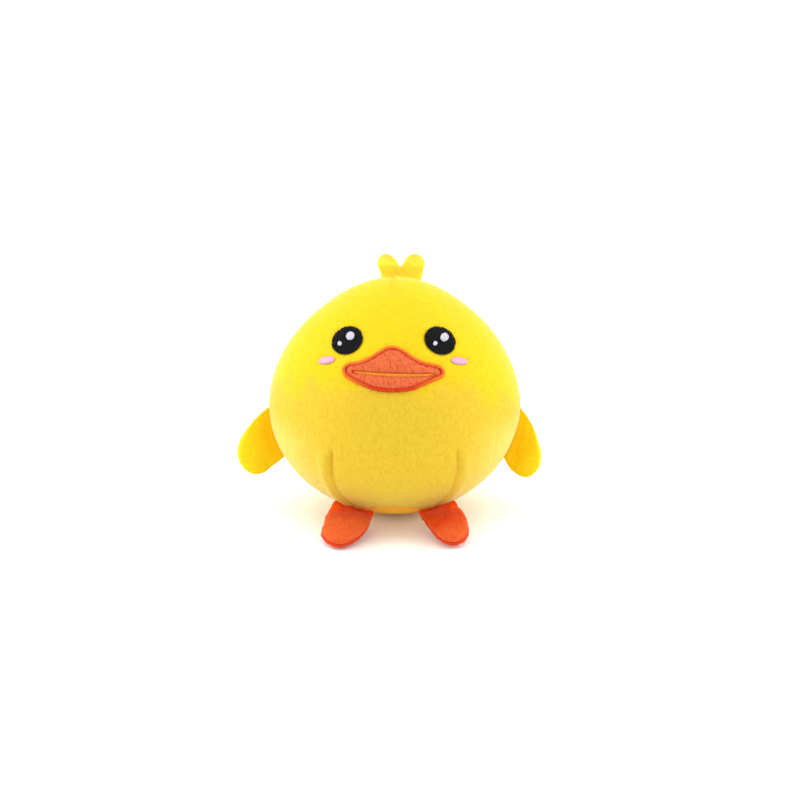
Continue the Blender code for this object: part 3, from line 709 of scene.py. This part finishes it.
def fillStitches(middle, halfLength, halfWidth, tilt, direction, spacing, length, rand, tones):
    # Rows of thread over an oval, each row broken into stitches that overlap like bricks
    stitches = []
    width, thick, ragged = spacing * 1.25, spacing * 0.6, (0.1, 0.4)
    turn, way = math.radians(tilt), math.radians(direction)
    along = np.array([math.cos(way), math.sin(way)])
    side = np.array([-along[1], along[0]])
    reach = max(halfLength, halfWidth)
    rows = int(2 * reach / spacing)
    for row in range(rows + 1):
        offset = -reach + row * spacing
        spans = []
        for step in np.linspace(-reach, reach, 161):
            place = along * step + side * offset
            u = (place[0] * math.cos(turn) + place[1] * math.sin(turn)) / halfLength
            v = (-place[0] * math.sin(turn) + place[1] * math.cos(turn)) / halfWidth
            if u * u + v * v <= 1:
                spans.append(step)
        if len(spans) < 3:
            continue
        first, last = spans[0] - spacing * rand.uniform(*ragged), spans[-1] + spacing * rand.uniform(*ragged)
        cut = first - length * ((row % 3) / 3)
        while cut < last - spacing:
            begin, stop = max(cut, first), min(cut + length, last)
            if stop - begin > spacing:
                start = np.asarray(middle) + along * begin + side * offset
                end = np.asarray(middle) + along * stop + side * offset
                stitches.append((start, end, width, thick, rand.uniform(*tones)))
            cut += length
    return stitches


def embroider(name, oval, direction, work, thread, rand):
    # A low dome with rows of thread over it. The oval: middle, half length, half width, tilt
    def dome(out, x, z):
        return work["base"] + work["dome"] * math.sqrt(max(0, 1 - out ** 6))

    outline = ovalOutline(*oval, work["columns"])
    ground = makePad(f"{name}_ground", outline, oval[0], work["rings"], dome, work["lowest"])
    setTone(ground, "tone", [work["groundTone"]] * len(ground.data.vertices))
    finish(ground, thread, "body", toyMatrix)
    stitches = fillStitches(*oval, direction, work["spacing"], work["length"], rand, work["tones"])
    sewOn(f"{name}_threads", stitches, work["lift"], thread)
    return ground


# Eyes, each with two glints

eyes = {
    "right": {"tilt": 30, "large": (-0.0279, 0.0419), "small": (-0.0346, 0.0371)},
    "left": {"tilt": -30, "large": (0.0317, 0.0411), "small": (0.0258, 0.0370)},
    "halfLength": 0.0104,
    "halfWidth": 0.0088,
    "work": {"columns": 64, "rings": 10, "base": 0.0, "dome": 0.0007, "lowest": -0.0008, "groundTone": 1.0,
             "spacing": 0.00062, "length": 0.0042, "tones": (0.0, 1.0), "lift": 0.0008},
}
glints = {
    "large": {"radius": 0.0028, "flatness": 0.88},
    "small": {"radius": 0.00140, "flatness": 0.96},
    "tilt": 55,
    "direction": 70,
    "work": {"columns": 28, "rings": 5, "base": 0.0011, "dome": 0.0007, "lowest": 0.0006, "groundTone": 0.6,
             "spacing": 0.00055, "length": 0.008, "tones": (0.0, 0.6), "lift": 0.0018},
}
rand = random.Random(11)
for side in ("left", "right"):
    eye = eyes[side]
    oval = (faceSpots["eyes"][side], eyes["halfLength"], eyes["halfWidth"], eye["tilt"])
    dome = embroider(f"eye_{side}", oval, 90 + eye["tilt"] * 0.6, eyes["work"], eyeThread, rand)
    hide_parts(f"eye_{side}")
    for size in ("large", "small"):
        radius = glints[size]["radius"]
        oval = (eye[size], radius, radius * glints[size]["flatness"], glints["tilt"])
        dot = embroider(f"eye_{side}_glint_{size}", oval, glints["direction"], glints["work"], glintThread,
                        rand)
        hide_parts(f"eye_{side}_glint_{size}")
print("plush duck: eyes stitched")

# Cheeks

cheeks = {
    "tilt": {"right": 8, "left": -6},
    "halfLength": 0.0054,
    "halfWidth": 0.0024,
    "work": {"columns": 48, "rings": 6, "base": 0.0, "dome": 0.0004, "lowest": -0.0008, "groundTone": 0.5,
             "spacing": 0.00055, "length": 0.02, "tones": (0.0, 0.6), "lift": 0.0005},
}
for side in ("left", "right"):
    tilt = cheeks["tilt"][side]
    oval = (faceSpots["cheeks"][side], cheeks["halfLength"], cheeks["halfWidth"], tilt)
    dome = embroider(f"cheek_{side}", oval, 90 + tilt + 8, cheeks["work"], cheekThread, rand)
    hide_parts(f"cheek_{side}")
print("plush duck: cheeks stitched")

# Beak: an applique of short pile inside a satin-stitched border

beak = {
    # Across and up, in millimetres
    "outline": ((-33.2, 19.9), (-32.3, 23.0), (-29.6, 24.9), (-25.7, 25.6), (-21.4, 26.4), (-15.5, 29.0),
                (-10.4, 32.2), (-5.8, 34.8), (-1.4, 35.8), (2.8, 34.9), (7.4, 32.4), (12.5, 28.8), (17.4, 26.2),
                (22.6, 24.9), (27.4, 23.8), (30.8, 21.9), (32.1, 19.0), (31.0, 16.1), (27.0, 14.0), (19.2, 10.6),
                (12.5, 7.8), (6.1, 6.5), (-1.0, 6.1), (-8.6, 6.6), (-14.1, 7.7), (-19.2, 9.7), (-25.6, 12.6),
                (-31.2, 15.8)),
    "borderWidth": 0.0024,
    "middle": (-0.0008, 0.0190),
    "low": 0.0061,  # the border is darkest up to here
    "mouthLeft": (-0.0252, 0.0194),
    "mouthRight": (0.0246, 0.0177),
    "patch": {"inset": 0.0014, "columns": 200, "rings": 22, "edge": 0.0006, "crown": 0.0012, "lowest": -0.0006},
    "streaks": {"stretch": (1.0, 1.0, 0.22), "wavelength": 0.0008, "height": 0.00026, "tone": 1.3},
    # Stitches: how many, their width and thickness, and how far off the face they lie
    "border": (300, (0.00070, 0.0010), 0.0008),
    "innerShadeLine": (150, (0.0009, 0.0007), 0.0012),
    "band": (90, (0.00075, 0.0009), 0.0010),
    "darkLine": (24, (0.0006, 0.0006), 0.0013),
    "knot": (5, (0.0006, 0.0009), 0.0014),
}


def beakLine(inset, count):
    line = curveThrough(np.array(beak["outline"]) / 1000, count)
    along = np.roll(line, -1, axis=0) - np.roll(line, 1, axis=0)
    along /= np.linalg.norm(along, axis=1)[:, None]
    inward = np.stack([along[:, 1], -along[:, 0]], axis=1)
    return line + inward * inset


def mouthHeight(x):
    left, right = beak["mouthLeft"], beak["mouthRight"]
    share = (x - left[0]) / (right[0] - left[0])
    return left[1] + (right[1] - left[1]) * share - 0.0005 * math.sin(math.pi * min(1, max(0, share)))


def beakLift(out, x, z):
    # Two soft lips of pile, held down by the border and along the mouth
    lift = beak["patch"]["crown"] * math.sqrt(max(0, 1 - out ** 5))
    off = (z - mouthHeight(x) + 0.0010) / 0.0021
    inside = 1 - float(easeFrom(abs(x), 0.0250, 0.003))
    return beak["patch"]["edge"] + lift * (1 - 0.62 * inside * math.exp(-off * off))


shape, streak = beak["patch"], beak["streaks"]
rim = beakLine(shape["inset"], shape["columns"])[::-1]
patch = makePad("beakPatch", rim, beak["middle"], shape["rings"], beakLift, shape["lowest"])
subdivideBy(patch, 1)
points = pointsOf(patch)
streaks = pile(points * np.array(streak["stretch"]), streak["wavelength"], 4)
points += bodyNormals(points) * (streak["height"] * streaks)[:, None]
setPoints(patch, points)
# the hollows between the streaks get the deeper tone: the pile's own darker streaks, and painted shade in the hollows
setTone(patch, "fold", np.clip(-streaks * streak["tone"], 0, 1))
finish(patch, beakPlush, "body", toyMatrix)
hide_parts("beak_patch")

# Satin stitches across the edge, darker low down
count, size, lift = beak["border"]
outer, inner = beakLine(0, count), beakLine(beak["borderWidth"], count)
threads = []
for k in range(count):
    start = outer[k] + (outer[k] - inner[k]) * rand.uniform(-0.05, 0.12)
    low = 1 - easeFrom(outer[k][1], beak["low"], 0.010)
    tone = float(0.14 + 0.72 * low + rand.uniform(-0.12, 0.12))
    threads.append((start, inner[(k + 1) % count], *size, tone))
border = sewOn("beakBorder", threads, lift, borderThread)
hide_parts("beak_border")

# painted shade: dark red stitches along the border's inner edge stand for the shade in the groove between the border
# and the patch
count, size, lift = beak["innerShadeLine"]
line = beakLine(beak["borderWidth"] - 0.0001, count)
threads = []
for k in range(count):
    threads.append((line[k], line[(k + 1) % count] * 1.15 - line[k] * 0.15, *size, rand.uniform(0.75, 1.0)))
sewOn("beakInnerShadeLine", threads, lift, borderThread)

# Mouth: a golden band, and over it a dark line with a hook at one end and a knot at the other
(mouthStart, knotZ), (mouthEnd, hookZ) = beak["mouthLeft"], beak["mouthRight"]
count, size, lift = beak["band"]
threads = []
for k in range(count):
    share = (k + 0.5) / count
    x = mouthStart + (mouthEnd - mouthStart) * share
    tall = 0.0007 + 0.0018 * math.sin(math.pi * share) ** 0.7 * rand.uniform(0.9, 1.05)
    z = mouthHeight(x)
    threads.append(((x - 0.0002, z), (x + 0.0002, z - tall), *size, rand.uniform(0.0, 0.35)))
mouth = sewOn("mouthBand", threads, lift, mouthThread)
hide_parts("mouth_line")

count, size, lift = beak["darkLine"]
threads = []
for k in range(count):
    x = mouthStart + (mouthEnd - mouthStart) * k / count
    start, end = ((place, mouthHeight(place) + 0.0003) for place in (x, x + 0.0025))
    threads.append((start, end, *size, rand.uniform(0.7, 1.0)))
threads.append(((mouthEnd, hookZ + 0.0006), (mouthEnd + 0.0022, hookZ - 0.0007), 0.0007, 0.0007, 0.9))
sewOn("mouthDarkLine", threads, lift, mouthThread)

count, size, lift = beak["knot"]
threads = []
for k in range(count):
    rise = -0.0006 + 0.0003 * k
    threads.append(((mouthStart - 0.0016, knotZ + rise), (mouthStart - 0.0002, knotZ + rise), *size, 1.0))
sewOn("mouthKnot", threads, lift, borderThread)
print("plush duck: beak stitched")

# The body is finished once nothing more is laid on it. The base panel is a piece of its own


def splitOff(thing, chosen, name):
    # The chosen faces leave as a piece of their own
    pickOnly(thing)
    bpy.context.tool_settings.mesh_select_mode = (False, False, True)
    chosen = np.array(chosen)
    points = np.zeros(len(thing.data.vertices), bool)
    for face in thing.data.polygons:
        if chosen[face.index]:
            points[list(face.vertices)] = True
    edges = np.empty(len(thing.data.edges) * 2, int)
    thing.data.edges.foreach_get("vertices", edges)
    thing.data.vertices.foreach_set("select", points)
    thing.data.edges.foreach_set("select", points[edges.reshape(-1, 2)].all(axis=1))
    thing.data.polygons.foreach_set("select", chosen)
    bpy.ops.object.mode_set(mode="EDIT")
    bpy.ops.mesh.separate(type="SELECTED")
    bpy.ops.object.mode_set(mode="OBJECT")
    part = [other for other in bpy.context.selected_objects if other != thing][0]
    part.name = name
    return part


def closeHole(thing):
    # Every open edge is drawn in to a cap that stays out of sight
    pickOnly(thing)
    bpy.ops.object.mode_set(mode="EDIT")
    bpy.ops.mesh.select_all(action="DESELECT")
    bpy.ops.mesh.select_mode(type="VERT")
    bpy.ops.mesh.select_non_manifold(extend=False, use_wire=False, use_multi_face=False,
                                     use_non_contiguous=False, use_verts=False)
    bpy.ops.mesh.edge_face_add()
    bpy.ops.object.mode_set(mode="OBJECT")


basePanel = splitOff(bodyPlush, baseFaces, "basePanel")
for thing in (bodyPlush, basePanel):
    closeHole(thing)
finish(bodyPlush, yellowPlush, "body", toyMatrix)
finish(basePanel, basePaintedLightPlush, "body", toyMatrix)
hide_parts("body_front_panel", "body_back_panel_left", "body_back_panel_right", "body_stuffing")
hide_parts("body_base_panel")
print("plush duck: body finished")

# Limbs: padded lobes of two panels, each made flat in its hinge's own axes and then stuffed

joints = {joint["name"]: joint for joint in frame["joints"]}


def hingeMatrix(limb):
    joint = joints[limb["joint"]]
    origin = Vector(joint["pos_m"])
    x = Vector(joint["axis"]).normalized() * limb["sign"]
    z = x.cross(Vector(limb["outwards"])).normalized()
    y = z.cross(x)
    return Matrix.Translation(origin) @ Matrix((x, y, z)).transposed().to_4x4()


def makeLobe(name, limb):
    # Outline in millimetres: x along the hinge, y out of it. The root points come last
    free, root = np.array(limb["free"]) / 1000, np.array(limb["root"]) / 1000
    rim = curveThrough(np.concatenate([free, root]), limb["columns"])
    middle = np.array(limb["middle"]) / 1000
    halfRoot, startShare, creaseWidth = 0.0015, 0.90, 0.0030
    area = np.sum(rim[:, 0] * np.roll(rim[:, 1], -1) - np.roll(rim[:, 0], -1) * rim[:, 1])
    if area < 0:
        rim = rim[::-1]
    distance = np.min(np.linalg.norm(rim[:, None, :] - root[None, :, :], axis=2), axis=1)
    low = np.interp(rim[:, 0], root[np.argsort(root[:, 0]), 0], root[np.argsort(root[:, 0]), 1])
    rootness = (1 - easeFrom(rim[:, 1], low, 0.004)) * (1 - easeFrom(distance, 0.002, 0.004))
    half = len(lobeOuts) - 1
    lobe, column, ring = addBall(name, limb["columns"], 2 * half)
    out = np.array(lobeOuts)[np.abs(ring - half)]
    side = np.sign(ring - half)
    flat = middle + (rim[column] - middle) * out[:, None]
    inwards = np.linalg.norm(flat - rim[column], axis=1)
    edge = np.minimum(inwards, halfRoot)
    least = np.sqrt(edge * (2 * halfRoot - edge))
    swell = np.sqrt(np.maximum(0, 1 - out ** 2))
    swell += (1 - swell) * rootness[column]
    ramp = easeFrom(flat[:, 1], 0, limb["rampEnd"] / 1000)
    if "crease" in limb:
        ramp *= 1 - limb["crease"] * bell(flat[:, 0] - limb["creaseAt"] / 1000, creaseWidth)
    crown = np.where(side > 0, limb["top"], limb["under"]) / 1000
    height = side * (least + (startShare * crown - halfRoot) * swell * ramp)
    setPoints(lobe, np.column_stack([flat, height]))
    held = np.maximum(ring == half, 1 - easeFrom(flat[:, 1], 0.001, 0.003))
    pressOut(lobe, held, limb["pressure"], limb["cap"] / 1000, limb["slack"])
    loose = 0.6 * easeFrom(inwards, 0.002, 0.005) * easeFrom(flat[:, 1], 0.002, 0.006)
    evenCrown(lobe, loose, limb["evenRounds"])
    subdivideBy(lobe, 2)
    return lobe


def evenCrown(lobe, loose, rounds):
    # Each loose point drifts to the mean height of its neighbours, so that no ridge is left on the crown
    points = pointsOf(lobe)
    ends = np.array([tuple(edge.vertices) for edge in lobe.data.edges])
    neighbours = np.bincount(ends.ravel(), minlength=len(points))
    for _ in range(rounds):
        total = np.bincount(ends[:, 0], points[ends[:, 1], 2], len(points))
        total += np.bincount(ends[:, 1], points[ends[:, 0], 2], len(points))
        points[:, 2] += loose * (total / neighbours - points[:, 2])
    setPoints(lobe, points)


def sewLobe(lobe, limb, seed):
    # The rim's seam draws in, the panels pucker a little beside it, and the pile goes on
    points = pointsOf(lobe)
    normals = vectorsOf(lobe.data.vertex_normals, "vector")
    x, y, z = points.T
    away = easeFrom(y, 0.002, 0.004)
    sharp = bell(z, 0.0004)
    sink = 0.0006 * bell(z, 0.0011) * away + 0.0003 * sharp * away
    along = np.arctan2(y - limb["middle"][1] / 1000, x - limb["middle"][0] / 1000)
    pucker = pile(np.column_stack([np.cos(along), np.sin(along), 0 * along]) * 0.012, 0.0030, seed + 7)
    band = bell(np.abs(z) - 0.0026, 0.0022) * away
    relief = 0.00018 * pile(points, 0.0042, seed) + 0.0001 * pile(points, 0.0020, seed + 1)
    relief += 0.0005 * pile(points, 0.016, seed + 2) + 0.00030 * pucker * band
    points += normals * (relief - sink)[:, None]
    setPoints(lobe, points)
    # painted shade: a deeper tone along the rim's seam, and near the root where the body shades the lobe; on the feet
    # that tone is brightened as painted light
    fold = 0.75 * sharp * away
    fold = np.maximum(fold, (1 - easeFrom(y, -0.001, limb["shadow"] / 1000)) * limb["rootShade"])
    setTone(lobe, "fold", np.clip(fold, 0, 1))
    # the colour shifts from the first tone at the root to the second tone further out: painted light and shade
    setTone(lobe, "lay", smooth((y - limb["secondToneFrom"] / 1000) / 0.03 + 0.3 * pile(points, 0.012, seed + 3)))


# How far each ring lies towards the rim
lobeOuts = (1, 0.975, 0.93, 0.86, 0.77, 0.66, 0.54, 0.41, 0.28, 0.14, 0)
wingRoot = ((17.4, -5.0), (11.6, -3.8), (5.8, -3.1), (0.0, -2.9), (-5.8, -3.1), (-11.6, -3.8), (-17.4, -5.0))
wings = {
    "right": {
        "sign": -1, "outwards": (-0.9529, -0.0908, -0.2894),
        "free": ((-15.4, 1.6), (-12.4, 8.0), (-7.8, 14.9), (-2.5, 20.8), (3.7, 24.9), (8.6, 26.2), (13.9, 25.9),
                 (19.6, 23.9), (23.8, 19.6), (24.7, 14.1), (23.2, 8.0), (20.5, 1.4)),
        "root": wingRoot, "middle": (6.5, 12.5),
    },
    "left": {
        "sign": 1, "outwards": (0.9529, -0.0908, -0.2894),
        "free": ((-14.6, 0.6), (-11.4, 4.6), (-6.0, 9.6), (1.3, 14.8), (8.1, 18.7), (14.6, 20.4), (20.9, 19.9),
                 (25.6, 17.2), (27.9, 12.8), (27.4, 7.4), (25.0, 2.2), (21.6, -1.6)),
        "root": wingRoot, "middle": (8.5, 9.0),
    },
}
wingShape = {"columns": 64, "top": 9.2, "under": 9.2, "rampEnd": 16.0, "pressure": 6.0, "cap": 1.8,
             "slack": -0.01, "shadow": 12.0, "rootShade": 0.5, "secondToneFrom": 0.0, "evenRounds": 25}
for number, side in enumerate(("left", "right")):
    limb = {**wingShape, **wings[side], "joint": f"wing_{side}_swing"}
    wing = makeLobe(f"wing_{side}", limb)
    sewLobe(wing, limb, 20 + number * 5)
    finish(wing, wingPlush, f"wing_{side}", hingeMatrix(limb))
    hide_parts(f"wing_{side}_front_panel", f"wing_{side}_back_panel", f"wing_{side}_stuffing")
print("plush duck: wings sewn and stuffed")


feet = {
    "right": {
        "root": ((14.0, -4.2), (9.3, -3.4), (4.7, -3.0), (0.0, -2.8), (-4.7, -3.0), (-9.3, -3.4), (-13.6, -4.2)),
        "middle": (0.6, 20.0), "seamTilt": -0.20,
        "secondToneFrom": 0.0, "outwards": (-0.1986, -0.9614, -0.1904),
        "free": ((-14.2, 3.3), (-14.5, 10.3), (-14.1, 16.0), (-13.2, 22.0), (-11.6, 28.0), (-9.2, 33.6), (-6.2, 38.2),
                 (-2.4, 41.4), (1.6, 42.0), (6.2, 40.2), (10.4, 36.6), (13.4, 32.2), (14.9, 28.2), (14.8, 24.6),
                 (15.4, 19.0), (15.8, 13.6), (15.6, 8.6), (14.9, 3.1)),
    },
    "left": {
        "root": ((11.6, -4.2), (8.0, -3.4), (4.0, -3.0), (0.0, -2.8), (-4.7, -3.0), (-9.3, -3.4), (-14.0, -4.2)),
        "middle": (-3.0, 19.5), "seamTilt": 0.12,
        "secondToneFrom": 14.0, "outwards": (0.1986, -0.9614, -0.1904),
        "free": ((-15.0, 3.1), (-16.5, 9.6), (-17.0, 15.8), (-16.9, 22.0), (-16.0, 27.4), (-13.9, 32.8), (-10.9, 37.4),
                 (-6.4, 40.2), (-1.6, 40.2), (2.6, 37.4), (5.4, 32.8), (7.2, 27.6), (8.4, 22.0), (9.6, 15.6),
                 (10.6, 9.4), (11.3, 3.1)),
    },
}
footShape = {"sign": 1, "columns": 72, "top": 8.8, "under": 6.4,
             "rampEnd": 15.0, "pressure": 6.0, "cap": 1.8, "slack": -0.01, "shadow": 17.0, "rootShade": 0.9,
             "evenRounds": 25, "seamDrop": 0.0010, "seamFade": 0.012}
for number, side in enumerate(("left", "right")):
    limb = {**footShape, **feet[side], "joint": f"foot_{side}_fold"}
    foot = makeLobe(f"foot_{side}", limb)
    soleFaces = [face.center.z < 0 for face in foot.data.polygons]
    sewLobe(foot, limb, 40 + number * 5)
    sole = splitOff(foot, soleFaces, f"foot_{side}_sole")
    foot.name = f"foot_{side}_top"
    for thing in (foot, sole):
        closeHole(thing)
        points = pointsOf(thing)  # the seam runs lower on the foot's outer side than on its inner side
        out = smooth(points[:, 1] / limb["seamFade"])
        points[:, 2] += (limb["seamTilt"] * points[:, 0] - limb["seamDrop"]) * out
        setPoints(thing, points)
    matrix = hingeMatrix(limb)
    finish(foot, footPlush, f"foot_{side}", matrix)
    finish(sole, soleShadedPlush, f"foot_{side}", matrix)
    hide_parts(f"foot_{side}_top_panel", f"foot_{side}_stuffing")
    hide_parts(f"foot_{side}_sole_panel")
print("plush duck: feet sewn and stuffed")

tuftLimb = {
    "joint": "tuft_nod", "sign": 1, "outwards": (0, 0.2994, 0.9541),
    "free": ((-14.4, 1.6), (-16.2, 5.5), (-16.7, 9.0), (-15.3, 12.7), (-12.7, 14.7), (-9.7, 15.1), (-6.7, 13.6),
             (-3.8, 10.6), (-2.2, 7.9), (-0.9, 6.0), (0.7, 8.1), (3.3, 12.0), (6.4, 14.2), (9.4, 14.8), (12.8, 13.7),
             (15.2, 11.3), (16.1, 8.7), (15.9, 5.2), (14.6, 0.6)),
    "root": ((13.0, -5.4), (8.7, -4.4), (4.3, -3.5), (0.0, -3.0), (-4.3, -2.8), (-8.7, -2.9), (-13.0, -3.4)),
    "middle": (-0.4, 3.4), "columns": 88, "top": 5.6, "under": 5.6, "rampEnd": 7.0,
    "crease": 0.5, "creaseAt": -0.5, "pressure": 5.0, "cap": 1.2, "slack": -0.01, "shadow": 4.0, "rootShade": 0.1,
    "secondToneFrom": 0.0, "evenRounds": 4,
}
tuft = makeLobe("tuft", tuftLimb)
sewLobe(tuft, tuftLimb, 60)
finish(tuft, tuftPlush, "tuft", hingeMatrix(tuftLimb))
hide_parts("tuft_front_panel", "tuft_back_panel", "tuft_stuffing")
print("plush duck: tuft sewn and stuffed")

# Floor

paper = {"light": (0.94, 0.94, 0.94, 1), "dark": (0.91, 0.91, 0.91, 1)}
bpy.ops.mesh.primitive_plane_add(size=60, location=(0, 0, 0))
floor = bpy.context.active_object
floor.name = "floor"
floorPaint, tree, shader = newMaterial("palePaper")
speck = addNoise(tree, tree.nodes.new("ShaderNodeTexCoord").outputs["Object"], scale=60, detail=2)
tree.links.new(addMix(tree, speck, paper["light"], paper["dark"]), shader.inputs["Base Color"])
setInputs(shader, {"Roughness": 0.9})
floor.data.materials.append(floorPaint)

bpy.context.view_layer.update()
print("plush duck: done")
